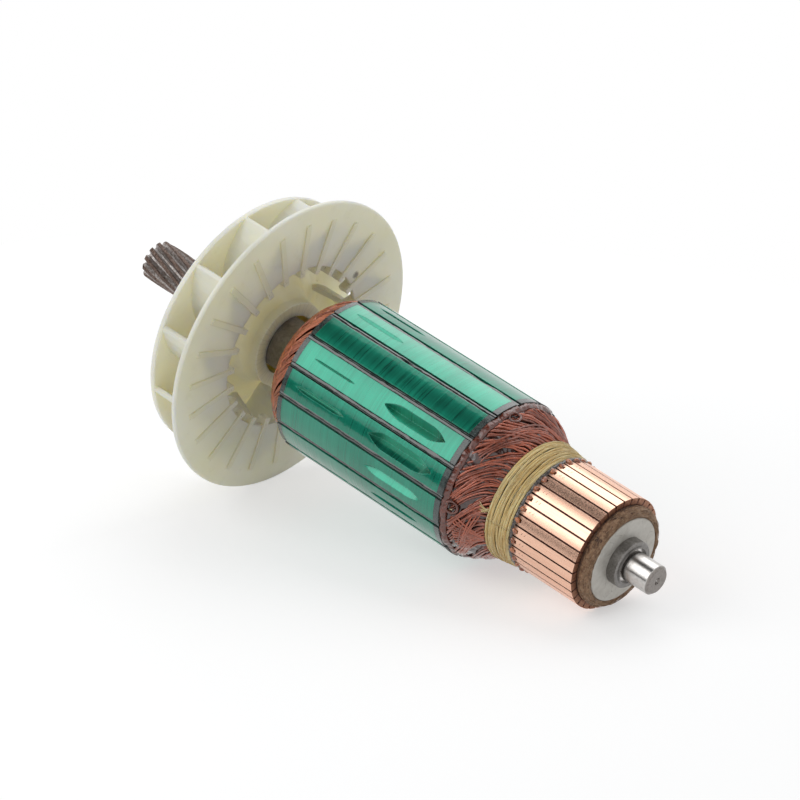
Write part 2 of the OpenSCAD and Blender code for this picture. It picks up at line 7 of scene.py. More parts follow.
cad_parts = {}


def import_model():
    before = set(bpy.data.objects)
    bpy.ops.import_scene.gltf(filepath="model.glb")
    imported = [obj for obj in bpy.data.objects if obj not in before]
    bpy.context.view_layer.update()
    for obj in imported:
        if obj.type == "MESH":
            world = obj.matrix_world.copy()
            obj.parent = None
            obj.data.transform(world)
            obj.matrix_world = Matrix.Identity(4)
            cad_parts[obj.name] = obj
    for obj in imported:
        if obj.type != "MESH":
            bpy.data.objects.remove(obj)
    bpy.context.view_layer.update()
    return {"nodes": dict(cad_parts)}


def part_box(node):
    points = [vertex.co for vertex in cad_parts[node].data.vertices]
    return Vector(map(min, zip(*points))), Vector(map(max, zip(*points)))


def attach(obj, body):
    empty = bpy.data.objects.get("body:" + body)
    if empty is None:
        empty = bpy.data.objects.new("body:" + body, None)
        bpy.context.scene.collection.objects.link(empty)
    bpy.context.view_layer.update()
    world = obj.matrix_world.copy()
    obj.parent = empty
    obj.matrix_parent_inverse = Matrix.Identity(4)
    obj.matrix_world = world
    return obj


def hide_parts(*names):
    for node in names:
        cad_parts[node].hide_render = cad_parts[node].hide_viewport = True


# Motor armature: finishes, windings, twine, varnish, lights and camera.
# Lengths below are millimetres, turned into metres when a mesh is made.
# Angles t are in degrees round the shaft, from +Y towards +Z.

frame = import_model()
nodes = frame["nodes"]
MM = 0.001
TAU = 2 * math.pi
DEG = 57.29578  # degrees in a radian


def ends(name):
    lo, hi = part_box(name)
    return lo.x / MM, hi.x / MM


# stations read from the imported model
X_TIP, X_END = ends("shaft")
X_WASHER, _ = ends("end_washer")
X_BAR, X_BAR_END = ends("commutator_bars")
X_TWINE, X_TWINE_END = ends("binding_twine")
X_PLATE, _ = ends("end_plate_front")
_, X_HEAD2 = ends("end_plate_rear")
X_SHROUD, _ = ends("fan")
TRACK_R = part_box("commutator_bars")[1].y / MM
CORE_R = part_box("core_stack")[1].y / MM
SHROUD_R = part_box("fan")[1].y / MM
WASHER_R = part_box("end_washer")[1].y / MM
# how many of each there are, and the angle of the first
SLOTS, BARS, RIBS = 16, 32, 24
SLOT_T, BAR_T, RIB_T = 4.7, 3.95, 13.0


# ---------------------------------------------------------------- mesh tools
def ring_point(x, r, t):
    a = np.radians(t)
    return np.stack(np.broadcast_arrays(x, r * np.cos(a), r * np.sin(a)), -1)


def smooth(a, b, v):
    q = np.clip((np.asarray(v, float) - a) / (b - a), 0, 1)
    return q * q * (3 - 2 * q)


def wob(p, scale, seed=0.0):
    """Smooth noise, about -1 to 1, at points given in mm."""
    off = Vector((seed * 17.3, seed * -9.1, seed * 4.7))
    return np.array([noise.noise(Vector(q) * scale + off) for q in np.atleast_2d(p)])


class Mesh:
    def __init__(self):
        self.v, self.f, self.tone, self.n = [], [], [], 0

    def add(self, verts, faces, tone=0.5):
        verts = np.asarray(verts, float).reshape(-1, 3)
        self.v.append(verts)
        self.tone.append(np.broadcast_to(np.asarray(tone, float), (len(verts),)))
        self.f.extend([tuple(int(i) + self.n for i in q) for q in faces])
        self.n += len(verts)

    def tube(self, pts, rad, sides=6, tone=0.5, flat=1.0, spin=0.0):
        """A tube along pts. flat below 1 thins it towards the shaft."""
        pts = np.asarray(pts, float)
        n = len(pts)
        rad = np.broadcast_to(np.asarray(rad, float), (n,))
        tan = np.gradient(pts, axis=0)
        tan /= np.linalg.norm(tan, axis=1)[:, None] + 1e-12
        out = pts * np.array([0, 1, 1])
        out = out - tan * np.sum(out * tan, 1)[:, None]
        bad = np.linalg.norm(out, axis=1) < 0.3
        out[bad] = np.array([1.0, 0, 0]) - tan[bad] * tan[bad, :1]
        out /= np.linalg.norm(out, axis=1)[:, None] + 1e-12
        side = np.cross(tan, out)
        k = np.arange(sides) * TAU / sides + spin
        ring = (pts[:, None] + rad[:, None, None] * (side[:, None] * np.cos(k)[None, :, None]
                + out[:, None] * flat * np.sin(k)[None, :, None]))
        idx = np.arange(n * sides).reshape(n, sides)
        a, b = idx[:-1], idx[1:]
        a2, b2 = np.roll(a, -1, 1), np.roll(b, -1, 1)
        quads = np.stack([a, a2, b2, b], -1).reshape(-1, 4)
        faces = [tuple(q) for q in quads] + [tuple(idx[0][::-1]), tuple(idx[-1])]
        if np.ndim(tone):
            tone = np.repeat(np.asarray(tone, float), sides)
        self.add(ring.reshape(-1, 3), faces, tone)

    def lathe(self, xs, rs, nt=360, bump=None, tone=0.5, t0=0.0, t1=360.0):
        """A skin turned round the shaft from a profile; bump(points, x, t) adds radius."""
        closed = abs(t1 - t0 - 360) < 1e-6
        ts = np.linspace(t0, t1, nt, endpoint=not closed)
        X, T = np.meshgrid(np.asarray(xs, float), ts, indexing="ij")
        R = np.broadcast_to(np.asarray(rs, float)[:, None], X.shape).copy()
        base = ring_point(X, R, T)
        if bump is not None:
            R = R + bump(base.reshape(-1, 3), X.ravel(), T.ravel()).reshape(R.shape)
        pts = ring_point(X, R, T)
        idx = np.arange(X.size).reshape(X.shape)
        if closed:
            idx = np.concatenate([idx, idx[:, :1]], 1)
        a, b, c, d = idx[:-1, :-1], idx[1:, :-1], idx[1:, 1:], idx[:-1, 1:]
        self.add(pts.reshape(-1, 3), np.stack([a, d, c, b], -1).reshape(-1, 4), tone)

    def make(self, name, mat, slot, stands_for=()):
        verts = np.concatenate(self.v) * MM
        me = bpy.data.meshes.new(name)
        me.from_pydata(verts.tolist(), [], self.f)
        me.validate()
        at = me.attributes.new("tone", "FLOAT", "POINT")
        at.data.foreach_set("value", np.concatenate(self.tone).astype(np.float32))
        me.polygons.foreach_set("use_smooth", [True] * len(me.polygons))
        me.materials.append(mat)
        ob = bpy.data.objects.new(name, me)
        bpy.context.scene.collection.objects.link(ob)
        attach(ob, "root")
        if stands_for:
            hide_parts(*stands_for)
        return ob


# ------------------------------------------------------------ material tools
class Mat:
    def __init__(self, name, **sockets):
        self.m = bpy.data.materials.new(name)
        self.m.use_nodes = True
        self.t = self.m.node_tree
        self.t.nodes.clear()
        out = self.t.nodes.new("ShaderNodeOutputMaterial")
        self.b = self.t.nodes.new("ShaderNodeBsdfPrincipled")
        self.t.links.new(self.b.outputs[0], out.inputs[0])
        self.put(**sockets)
        self._pos = None

    def put(self, **sockets):
        for key, val in sockets.items():
            self.feed(self.b.inputs[key.replace("_", " ")], val)

    def node(self, kind, **props):
        n = self.t.nodes.new("ShaderNode" + kind)
        for k, v in props.items():
            setattr(n, k, v)
        return n

    def feed(self, socket, val):
        if isinstance(val, bpy.types.NodeSocket):
            self.t.links.new(val, socket)
        elif isinstance(val, tuple) and len(val) == 3 and socket.type == "RGBA":
            socket.default_value = (*val, 1)
        else:
            socket.default_value = val

    def pos(self):
        """Place in mm, in the frame's own axes."""
        if self._pos is None:
            tc = self.node("TexCoord")
            vm = self.node("VectorMath", operation="SCALE")
            self.feed(vm.inputs[0], tc.outputs["Object"])
            vm.inputs["Scale"].default_value = 1000.0
            self._pos = vm.outputs[0]
        return self._pos

    def xyz(self):
        s = self.node("SeparateXYZ")
        self.feed(s.inputs[0], self.pos())
        return s.outputs

    def vec(self, x, y, z):
        c = self.node("CombineXYZ")
        for i, v in enumerate((x, y, z)):
            self.feed(c.inputs[i], v)
        return c.outputs[0]

    def op(self, kind, a, b=0.0, c=None):
        n = self.node("Math", operation=kind)
        self.feed(n.inputs[0], a)
        self.feed(n.inputs[1], b)
        if c is not None:
            self.feed(n.inputs[2], c)
        return n.outputs[0]

    def radius(self):
        _, y, z = self.xyz()
        return self.op("SQRT", self.op("ADD", self.op("MULTIPLY", y, y), self.op("MULTIPLY", z, z)))

    def turn(self):
        """Angle round the shaft in degrees, -180 to 180, from +Y towards +Z."""
        _, y, z = self.xyz()
        return self.op("MULTIPLY", self.op("ARCTAN2", z, y), DEG)

    def repeats(self, first, count):
        """Which of count repeats a point lies in, and its place across it, -0.5 to 0.5."""
        turns = self.op("DIVIDE", self.op("SUBTRACT", self.turn(), first), 360.0 / count)
        turns = self.op("ADD", turns, 40.5)
        return self.op("FLOOR", turns), self.op("SUBTRACT", self.op("FRACT", turns), 0.5)

    def noise(self, scale, detail=3.0, rough=0.5, vec=None, stretch=(1, 1, 1), off=0.0, warp=0.0):
        mp = self.node("Mapping")
        self.feed(mp.inputs[0], vec or self.pos())
        mp.inputs["Scale"].default_value = stretch
        mp.inputs["Location"].default_value = (off, off * 0.7, -off)
        n = self.node("TexNoise")
        self.feed(n.inputs["Vector"], mp.outputs[0])
        n.inputs["Scale"].default_value = scale
        n.inputs["Detail"].default_value = detail
        n.inputs["Roughness"].default_value = rough
        n.inputs["Distortion"].default_value = warp
        return n.outputs["Fac"]

    def cells(self, scale, feature, stretch=(1, 1, 1)):
        mp = self.node("Mapping")
        self.feed(mp.inputs[0], self.pos())
        mp.inputs["Scale"].default_value = stretch
        n = self.node("TexVoronoi", feature=feature)
        self.feed(n.inputs["Vector"], mp.outputs[0])
        n.inputs["Scale"].default_value = scale
        return n.outputs["Distance"]

    def span(self, val, a, b, lo=0.0, hi=1.0, soft=True):
        n = self.node("MapRange", interpolation_type="SMOOTHSTEP" if soft else "LINEAR")
        self.feed(n.inputs["Value"], val)
        n.inputs["From Min"].default_value = a
        n.inputs["From Max"].default_value = b
        n.inputs["To Min"].default_value = lo
        n.inputs["To Max"].default_value = hi
        return n.outputs["Result"]

    def mix(self, fac, a, b):
        n = self.node("Mix", data_type="RGBA")
        self.feed(n.inputs[0], fac)
        self.feed(n.inputs[6], a)
        self.feed(n.inputs[7], b)
        return n.outputs[2]

    def ramp(self, fac, *stops):
        n = self.node("ValToRGB")
        self.feed(n.inputs[0], fac)
        e = n.color_ramp.elements
        while len(e) < len(stops):
            e.new(0.5)
        for el, (p, c) in zip(e, stops):
            el.position, el.color = p, (*c, 1)
        return n.outputs[0]

    def tone(self):
        n = self.node("Attribute", attribute_name="tone")
        return n.outputs["Fac"]

    def facing_x(self):
        """1 where the surface looks along the shaft, 0 where it looks away from it."""
        g = self.node("NewGeometry")
        s = self.node("SeparateXYZ")
        self.feed(s.inputs[0], g.outputs["True Normal"])
        return self.op("ABSOLUTE", s.outputs[0])

    def bump(self, height, dist, strength=1.0, after=None):
        n = self.node("Bump")
        self.feed(n.inputs["Height"], height)
        n.inputs["Distance"].default_value = dist * MM
        n.inputs["Strength"].default_value = strength
        if after is not None:
            self.feed(n.inputs["Normal"], after)
        self.put(Normal=n.outputs[0])
        return n.outputs[0]

    def bevel(self, radius):
        n = self.node("Bevel", samples=4)
        n.inputs["Radius"].default_value = radius * MM
        return n.outputs[0]


def dress(name, mat):
    ob = nodes[name]
    ob.data.materials.clear()
    ob.data.materials.append(mat.m)


# ------------------------------------------------------------------ materials
def steel_shaft():
    m = Mat("shaft_steel", Metallic=1.0)
    x, _, _ = m.xyz()
    r = m.radius()
    lines = m.noise(9.0, 3, 0.7, vec=m.vec(x, 0.0, 0.0))
    smear = m.noise(0.9, 4, 0.6, off=3)
    bright = m.ramp(smear, (0.3, (0.50, 0.48, 0.46)), (0.7, (0.66, 0.64, 0.62)))
    dark = m.ramp(m.noise(2.4, 4, 0.6, off=9), (0.3, (0.10, 0.085, 0.075)), (0.7, (0.26, 0.23, 0.21)))
    # the end face and its chamfer are darker than the ground seat
    tip = m.span(x, X_TIP + 0.55, X_TIP + 1.0, 1.0, 0.0)
    col = m.mix(m.op("MULTIPLY", tip, 0.85), bright, dark)
    # pinion: brown pitted crests, bright flanks and roots
    on_pinion = m.span(x, X_END - 30.0, X_END - 27.0)
    pits = m.noise(1.5, 5, 0.65, off=21, warp=0.4)
    crest = m.span(r, 5.9, 6.75)
    rust = m.ramp(pits, (0.35, (0.045, 0.030, 0.024)), (0.55, (0.15, 0.105, 0.085)),
                  (0.75, (0.30, 0.26, 0.24)))
    flank = m.ramp(m.noise(1.1, 4, 0.6, off=5), (0.35, (0.24, 0.20, 0.18)), (0.65, (0.52, 0.50, 0.49)))
    col = m.mix(on_pinion, col, m.mix(crest, flank, rust))
    rough = m.op("ADD", m.span(lines, 0.3, 0.7, 0.17, 0.30),
                 m.op("MULTIPLY", on_pinion, m.span(pits, 0.3, 0.7, 0.06, 0.30)))
    m.put(Base_Color=col, Roughness=rough)
    first = m.bump(m.op("MULTIPLY", pits, on_pinion), 0.35, 0.9)
    m.bump(lines, 0.012, 0.8, after=first)
    return m


def steel_plain(name, low, high, rough=(0.3, 0.5), scale=1.2, grain=0.02):
    m = Mat(name, Metallic=1.0)
    x, _, _ = m.xyz()
    r = m.radius()
    n = m.noise(scale, 5, 0.6, off=len(name))
    m.put(Base_Color=m.ramp(n, (0.3, low), (0.7, high)), Roughness=m.span(n, 0.3, 0.7, rough[0], rough[1]))
    fine = m.noise(6.0, 3, 0.7, vec=m.vec(x, r, 0.0))
    m.bump(fine, grain, 0.8, after=m.bevel(0.12))
    return m


def washer_steel():
    m = Mat("washer_steel", Metallic=0.35)
    _, y, z = m.xyz()
    n = m.noise(0.35, 5, 0.65, off=4)
    spots = m.span(m.noise(1.6, 5, 0.7, off=8), 0.62, 0.72)
    base = m.ramp(n, (0.3, (0.50, 0.47, 0.42)), (0.7, (0.66, 0.64, 0.59)))
    crack = m.cells(0.21, "DISTANCE_TO_EDGE", stretch=(0.2, 1, 1))
    line = m.op("MULTIPLY", m.span(crack, 0.0, 0.012, 1.0, 0.0), m.span(m.noise(0.3, 2, off=30), 0.55, 0.62))
    col = m.mix(m.op("MULTIPLY", spots, 0.55), base, (0.30, 0.26, 0.21))
    m.put(Base_Color=m.mix(m.op("MULTIPLY", line, 0.7), col, (0.12, 0.10, 0.08)),
          Roughness=m.span(n, 0.3, 0.7, 0.42, 0.6))
    m.bump(m.noise(3.0, 4, 0.7), 0.03, 0.6, after=m.bevel(0.15))
    return m


def copper():
    m = Mat("copper", Metallic=1.0)
    x, _, _ = m.xyz()
    r = m.radius()
    t = m.turn()
    bar, u = m.repeats(BAR_T, BARS)
    side = m.op("MULTIPLY", u, 360.0 / BARS / DEG * TRACK_R)
    pick = m.node("TexWhiteNoise", noise_dimensions="1D")
    m.feed(pick.inputs["W"], bar)
    own = pick.outputs["Value"]
    grain = m.vec(m.op("MULTIPLY", x, 0.12), m.op("MULTIPLY", side, 2.2), m.op("MULTIPLY", bar, 7.3))
    streak = m.noise(1.0, 4, 0.6, vec=grain)
    worn = m.noise(0.5, 4, 0.6, off=2)
    base = m.ramp(streak, (0.3, (0.84, 0.50, 0.36)), (0.7, (0.93, 0.60, 0.45)))
    base = m.mix(m.op("MULTIPLY", own, 0.22), base, (0.70, 0.38, 0.26))
    base = m.mix(m.span(worn, 0.55, 0.8, 0.0, 0.35), base, (0.78, 0.50, 0.38))
    # two small round punch marks on each bar, near the leads
    marks = 0.0
    for at in (X_BAR_END - 4.0, X_BAR_END - 5.25):
        for across, size in ((-0.24, 0.17), (0.16, 0.13)):
            dx = m.op("SUBTRACT", x, at - across * 0.6)
            dy = m.op("SUBTRACT", side, across + 0.35)
            d = m.op("SQRT", m.op("ADD", m.op("MULTIPLY", dx, dx), m.op("MULTIPLY", dy, dy)))
            marks = m.op("MAXIMUM", marks, m.span(d, size * 0.55, size, 1.0, 0.0))
    onto = m.span(r, TRACK_R - 0.12, TRACK_R - 0.05)
    marks = m.op("MULTIPLY", marks, onto)
    # dark film on the sawn sides and the end faces
    end = m.span(m.facing_x(), 0.5, 0.8)
    film = m.ramp(m.noise(1.4, 5, 0.65, off=7), (0.3, (0.20, 0.085, 0.05)), (0.7, (0.48, 0.26, 0.17)))
    col = m.mix(m.span(r, TRACK_R - 0.25, TRACK_R - 0.04, 1.0, 0.0), base, (0.20, 0.05, 0.025))
    col = m.mix(end, col, film)
    # burnt edge beside the beads
    ragged = m.op("ADD", x, m.op("MULTIPLY", m.noise(1.1, 4, 0.6, off=12), 1.6))
    burnt = m.span(ragged, X_BAR_END - 1.7, X_BAR_END - 0.3)
    col = m.mix(m.op("MULTIPLY", burnt, 0.85), col, (0.10, 0.05, 0.035))
    col = m.mix(marks, col, (0.05, 0.02, 0.012))
    rough = m.op("ADD", m.span(m.noise(2.2, 4, 0.6, off=15), 0.3, 0.7, 0.24, 0.33),
                 m.op("MULTIPLY", end, 0.25))
    m.put(Base_Color=col, Roughness=rough)
    lines = m.noise(14.0, 2, 0.6, vec=m.vec(x, m.op("MULTIPLY", t, 0.004), 0.0))
    first = m.bump(lines, 0.006, 0.6, after=m.bevel(0.1))
    m.bump(m.op("MULTIPLY", marks, -1.0), 0.12, 1.0, after=first)
    return m


def mica():
    m = Mat("mica", Metallic=0.0)
    n = m.noise(3.0, 4, 0.7, stretch=(0.4, 1, 1))
    m.put(Base_Color=m.ramp(n, (0.3, (0.035, 0.010, 0.006)), (0.7, (0.16, 0.045, 0.022))),
          Roughness=m.span(n, 0.3, 0.7, 0.45, 0.8))
    m.bump(m.noise(4.0, 3), 0.06, 0.8)
    return m


def resin(name, low, high, scale=0.8, rough=(0.08, 0.2), coat=0.6, bump=0.12, thin=0.0):
    m = Mat(name, Metallic=0.0, Coat_Weight=coat, Coat_Roughness=0.05, IOR=1.52)
    if thin:
        m.put(Subsurface_Weight=thin, Subsurface_Radius=(1.0, 0.35, 0.12), Subsurface_Scale=0.0012)
    n = m.noise(scale, 4, 0.6, off=len(name), warp=0.5)
    m.put(Base_Color=m.ramp(n, (0.32, low), (0.68, high)), Roughness=m.span(n, 0.3, 0.7, rough[0], rough[1]))
    m.bump(m.noise(scale * 1.6, 3, 0.5, off=2, warp=0.6), bump, 0.7)
    return m


def enamel(name, low, high):
    m = Mat(name, Metallic=0.45, Coat_Weight=1.0, Coat_Roughness=0.06, IOR=1.5)
    n = m.noise(0.9, 3, 0.6, off=6)
    v = m.op("ADD", m.op("MULTIPLY", m.tone(), 0.65), m.op("MULTIPLY", n, 0.45))
    middle = tuple(0.5 * (a + b) for a, b in zip(low, high))
    m.put(Base_Color=m.ramp(v, (0.2, low), (0.5, middle), (0.85, high)),
          Roughness=m.span(n, 0.3, 0.7, 0.25, 0.45))
    m.bump(m.noise(2.2, 3, 0.5, off=1), 0.08, 0.6)
    return m


def green_core():
    m = Mat("coated_laminations", Metallic=0.9, Coat_Weight=1.0, Coat_Roughness=0.07, Coat_IOR=1.5)
    x, _, _ = m.xyz()
    r = m.radius()
    # uneven sheet edges: lines across the shaft that change a little round it
    fine = m.noise(2.1, 4, 0.75, stretch=(1, 0.012, 0.012))
    wide = m.noise(0.5, 3, 0.6, stretch=(1, 0.02, 0.02), off=5)
    cloud = m.noise(0.06, 3, 0.5, off=11)
    v = m.op("ADD", m.op("MULTIPLY", fine, 0.5), m.op("MULTIPLY", wide, 0.28))
    v = m.op("ADD", v, m.op("MULTIPLY", cloud, 0.3))
    col = m.ramp(v, (0.35, (0.000, 0.13, 0.080)), (0.55, (0.004, 0.215, 0.135)), (0.75, (0.012, 0.30, 0.19)))
    dust = m.span(m.noise(3.5, 5, 0.75, off=14), 0.70, 0.76)
    col = m.mix(m.op("MULTIPLY", dust, 0.25), col, (0.30, 0.42, 0.38))
    m.put(Base_Color=col, Roughness=m.span(fine, 0.3, 0.7, 0.26, 0.40))
    edge = m.bevel(0.28)
    m.bump(m.op("ADD", m.op("MULTIPLY", fine, 0.7), m.op("MULTIPLY", wide, 0.4)), 0.022, 0.7, after=edge)
    coat = m.node("Bump")
    m.feed(coat.inputs["Height"], m.noise(0.45, 3, 0.5, off=17))
    coat.inputs["Distance"].default_value = 0.12 * MM
    coat.inputs["Strength"].default_value = 0.5
    m.feed(coat.inputs["Normal"], edge)
    m.put(Coat_Normal=coat.outputs[0])
    return m


def black_board():
    m = Mat("black_board", Metallic=0.0, Coat_Weight=0.8, Coat_Roughness=0.08)
    n = m.noise(0.9, 4, 0.6, off=3, warp=0.4)
    m.put(Base_Color=m.ramp(n, (0.3, (0.006, 0.012, 0.012)), (0.7, (0.03, 0.055, 0.05))),
          Roughness=m.span(n, 0.3, 0.7, 0.15, 0.38))
    m.bump(m.noise(1.1, 4, 0.6, warp=0.5), 0.22, 0.8, after=m.bevel(0.4))
    return m


def twine_fibre():
    m = Mat("twine", Metallic=0.0, Sheen_Weight=0.3, Sheen_Roughness=0.5,
            Subsurface_Weight=0.25, Subsurface_Radius=(1.0, 0.7, 0.35), Subsurface_Scale=0.0006)
    n = m.noise(0.45, 4, 0.6, off=4)
    fib = m.noise(3.4, 4, 0.7, stretch=(1.8, 0.35, 0.35), off=7)
    v = m.op("ADD", m.op("MULTIPLY", n, 0.3), m.op("MULTIPLY", fib, 0.25))
    v = m.op("ADD", m.op("MULTIPLY", m.tone(), 0.5), v)
    col = m.ramp(v, (0.25, (0.55, 0.33, 0.10)), (0.5, (0.80, 0.58, 0.24)), (0.75, (0.91, 0.78, 0.45)))
    dirt = m.span(m.noise(0.8, 5, 0.7, off=19), 0.66, 0.76)
    m.put(Base_Color=m.mix(m.op("MULTIPLY", dirt, 0.6), col, (0.30, 0.17, 0.08)),
          Roughness=m.span(fib, 0.3, 0.7, 0.45, 0.75))
    m.bump(fib, 0.12, 0.8)
    return m


def fibre():
    m = Mat("fibre", Metallic=0.0, Coat_Weight=0.15, Coat_Roughness=0.3)
    a = m.noise(0.9, 5, 0.7, off=2, warp=0.8)
    b = m.noise(2.6, 5, 0.75, off=6, warp=1.2)
    v = m.op("ADD", m.op("MULTIPLY", b, 0.35), m.op("MULTIPLY", m.tone(), 0.3))
    v = m.op("ADD", m.op("MULTIPLY", a, 0.5), v)
    col = m.ramp(v, (0.36, (0.035, 0.015, 0.008)), (0.5, (0.22, 0.115, 0.06)), (0.62, (0.42, 0.25, 0.14)),
                 (0.8, (0.66, 0.48, 0.32)))
    m.put(Base_Color=col, Roughness=m.span(b, 0.3, 0.7, 0.4, 0.8))
    m.bump(b, 0.35, 0.9)
    return m


def nylon():
    m = Mat("nylon", Metallic=0.0, IOR=1.5, Subsurface_Weight=1.0, Subsurface_Radius=(1.0, 0.85, 0.55),
            Subsurface_Scale=0.006)
    x, y, z = m.xyz()
    r = m.radius()
    _, u = m.repeats(RIB_T, RIBS)
    side = m.op("ABSOLUTE", m.op("MULTIPLY", m.op("MULTIPLY", u, 360.0 / RIBS / DEG), r))
    n = m.noise(0.05, 3, 0.5, off=3)
    base = m.ramp(n, (0.3, (0.86, 0.83, 0.66)), (0.7, (0.90, 0.875, 0.74)))
    # painted shade: warmer and darker towards the bore, where the thick hub lies back in the fan's hollow
    base = m.mix(m.span(r, 30.0, 11.0, 0.0, 0.55), base, (0.76, 0.68, 0.42))
    # a warmer line along each rib of the shroud, painted shade of the thicker plastic, darker at its sides,
    # partly dirt and partly painted shadow
    on_front = m.span(x, X_SHROUD + 3.0, X_SHROUD + 1.2)
    rib = m.op("MULTIPLY", m.span(side, 0.95, 1.1, 1.0, 0.0), m.span(r, 45.4, 44.9))
    rib = m.op("MULTIPLY", rib, on_front)
    off_side = m.op("ABSOLUTE", m.op("SUBTRACT", side, 1.05))
    rim = m.op("MULTIPLY", m.span(off_side, 0.08, 0.25, 1.0, 0.0), m.span(r, 45.6, 45.0))
    rim = m.op("MULTIPLY", rim, on_front)
    # painted shade on each rib, and dirt with painted shadow along its sides
    base = m.mix(m.op("MULTIPLY", rib, 0.35), base, (0.82, 0.76, 0.52))
    base = m.mix(m.op("MULTIPLY", rim, 0.35), base, (0.60, 0.55, 0.38))
    # grey dust where the air turns in, and on each rib's inner end
    speck = m.span(m.noise(1.6, 5, 0.75, off=9, warp=0.6), 0.56, 0.66)
    off_end = m.op("ABSOLUTE", m.op("SUBTRACT", r, 27.6))
    inner = m.op("MULTIPLY", m.span(off_end, 0.5, 1.6, 1.0, 0.0), m.span(side, 1.5, 0.8))
    base = m.mix(m.op("MULTIPLY", m.op("MULTIPLY", inner, speck), 0.75), base, (0.20, 0.17, 0.12))
    haze = m.span(m.noise(0.22, 4, 0.6, off=23), 0.55, 0.75, 0.0, 0.16)
    base = m.mix(haze, base, (0.62, 0.58, 0.45))
    # one greasy thumb mark
    mark_t, mark_r = math.radians(143.0), 31.9
    dy = m.op("SUBTRACT", y, mark_r * math.cos(mark_t))
    dz = m.op("SUBTRACT", z, mark_r * math.sin(mark_t))
    away = m.op("SQRT", m.op("ADD", m.op("MULTIPLY", dy, dy), m.op("MULTIPLY", dz, dz)))
    away = m.op("ADD", away, m.op("MULTIPLY", m.noise(1.3, 4, 0.7, off=2), 2.0))
    smut = m.op("MULTIPLY", m.span(away, 1.5, 2.8, 1.0, 0.0), on_front)
    base = m.mix(m.op("MULTIPLY", smut, 0.8), base, (0.12, 0.10, 0.07))
    m.put(Base_Color=base, Roughness=m.span(m.noise(0.4, 4, 0.6, off=31), 0.3, 0.7, 0.30, 0.46))
    height = m.op("MULTIPLY", m.noise(0.6, 4, 0.6, off=2), 0.5)
    height = m.op("ADD", height, m.op("MULTIPLY", rib, 0.5))
    m.bump(height, 0.05, 0.7, after=m.bevel(0.25))
    return m


def simple(name, low, high, rough=(0.5, 0.8), scale=1.0, bump=0.1):
    m = Mat(name, Metallic=0.0)
    n = m.noise(scale, 4, 0.6, off=len(name))
    m.put(Base_Color=m.ramp(n, (0.3, low), (0.7, high)), Roughness=m.span(n, 0.3, 0.7, rough[0], rough[1]))
    m.bump(n, bump, 0.7)
    return m


dress("shaft", steel_shaft())
dress("spacer_collar",
      steel_plain("collar_steel", (0.15, 0.14, 0.13), (0.28, 0.27, 0.26), (0.28, 0.45), 1.6, grain=0.03))
dress("end_washer", washer_steel())
fibre_mat = fibre()
dress("front_ring", fibre_mat)
dress("commutator_bars", copper())
dress("mica_segments", mica())
moulding = simple("moulding", (0.035, 0.022, 0.015), (0.09, 0.06, 0.04))
dress("commutator_moulding", moulding)
dress("rear_ring", moulding)
dress("commutator_bush", steel_plain("bush_steel", (0.30, 0.29, 0.28), (0.45, 0.44, 0.43)))
wire_mat = enamel("varnished_wire", (0.06, 0.012, 0.007), (0.50, 0.115, 0.05))
dress("lead_wires", wire_mat)
dress("lead_support", simple("support_board", (0.03, 0.018, 0.012), (0.08, 0.05, 0.035)))
tape_mat = resin("tape", (0.018, 0.014, 0.012), (0.07, 0.055, 0.048), 1.6, (0.25, 0.5), 0.5, 0.25)
dress("lead_tape", tape_mat)
dark_varnish = resin("varnished_coils", (0.012, 0.003, 0.0022), (0.085, 0.017, 0.009), 0.55, (0.05, 0.14),
                     1.0, 0.25)
dress("head_core_front", dark_varnish)
dress("head_core_rear", dark_varnish)
board = black_board()
dress("end_plate_front", board)
dress("end_plate_rear", board)
dress("slot_liners", simple("liner_paper", (0.40, 0.32, 0.18), (0.60, 0.50, 0.33)))
dress("slot_coils_lower", wire_mat)
dress("slot_coils_upper", wire_mat)
dress("core_stack", green_core())
dress("shaft_sleeve", simple("sleeve_board", (0.02, 0.015, 0.012), (0.05, 0.04, 0.03)))
dress("fan_bush", steel_plain("fan_bush_steel", (0.15, 0.135, 0.12), (0.24, 0.215, 0.19), (0.35, 0.5), 0.9))
dress("fan", nylon())
red_resin = resin("red_resin", (0.075, 0.014, 0.007), (0.23, 0.048, 0.022), 0.7, (0.10, 0.24), 0.8, 0.3,
                  thin=0.15)
black_resin = resin("wedge_resin", (0.004, 0.007, 0.006), (0.02, 0.032, 0.028), 0.6, (0.06, 0.16), 1.0, 0.12)
amber_mat = resin("bead_varnish", (0.22, 0.045, 0.012), (0.62, 0.20, 0.05), 0.5, (0.06, 0.14), 1.0, 0.08,
                  thin=0.5)
grey_varnish = resin("burnt_varnish", (0.016, 0.011, 0.009), (0.085, 0.062, 0.052), 1.3, (0.14, 0.35), 0.8,
                     0.3)
twine_mat = twine_fibre()
stick_mat = simple("liner_end", (0.50, 0.38, 0.22), (0.72, 0.60, 0.42))


# ------------------------------------------------------ commutator-end winding
# outer skin of the winding head, from the core to the twine
FX = np.array([47.2, 48.6, 50.1, 51.6, 53.1, 54.6, 56.0, 57.5, 59.0, 60.4, 60.9])
FR = np.array([20.5, 21.3, 21.9, 22.8, 23.7, 24.5, 25.3, 25.8, 26.4, 26.5, 26.4])


def front_r(x):
    return np.interp(x, FX, FR)


POOLS = ((57.4, 42.0, 2.6, 7.0), (55.4, 59.0, 1.9, 5.5), (53.0, 66.0, 1.5, 4.0), (55.9, -34.5, 2.0, 6.0),
         (57.6, 84.5, 2.2, 5.5), (56.9, 1.0, 2.4, 6.0), (50.6, 94.0, 1.2, 5.0), (56.5, 150.0, 2.2, 7.0),
         (55.0, 215.0, 2.5, 8.0), (57.5, 265.0, 2.2, 6.0), (53.0, 300.0, 2.0, 6.0))
HOLES = ((57.5, 0.6, 1.75, 4.6), (57.6, 84.6, 1.4, 4.6), (57.3, 178.0, 1.5, 4.4), (57.6, 246.0, 1.4, 4.2))


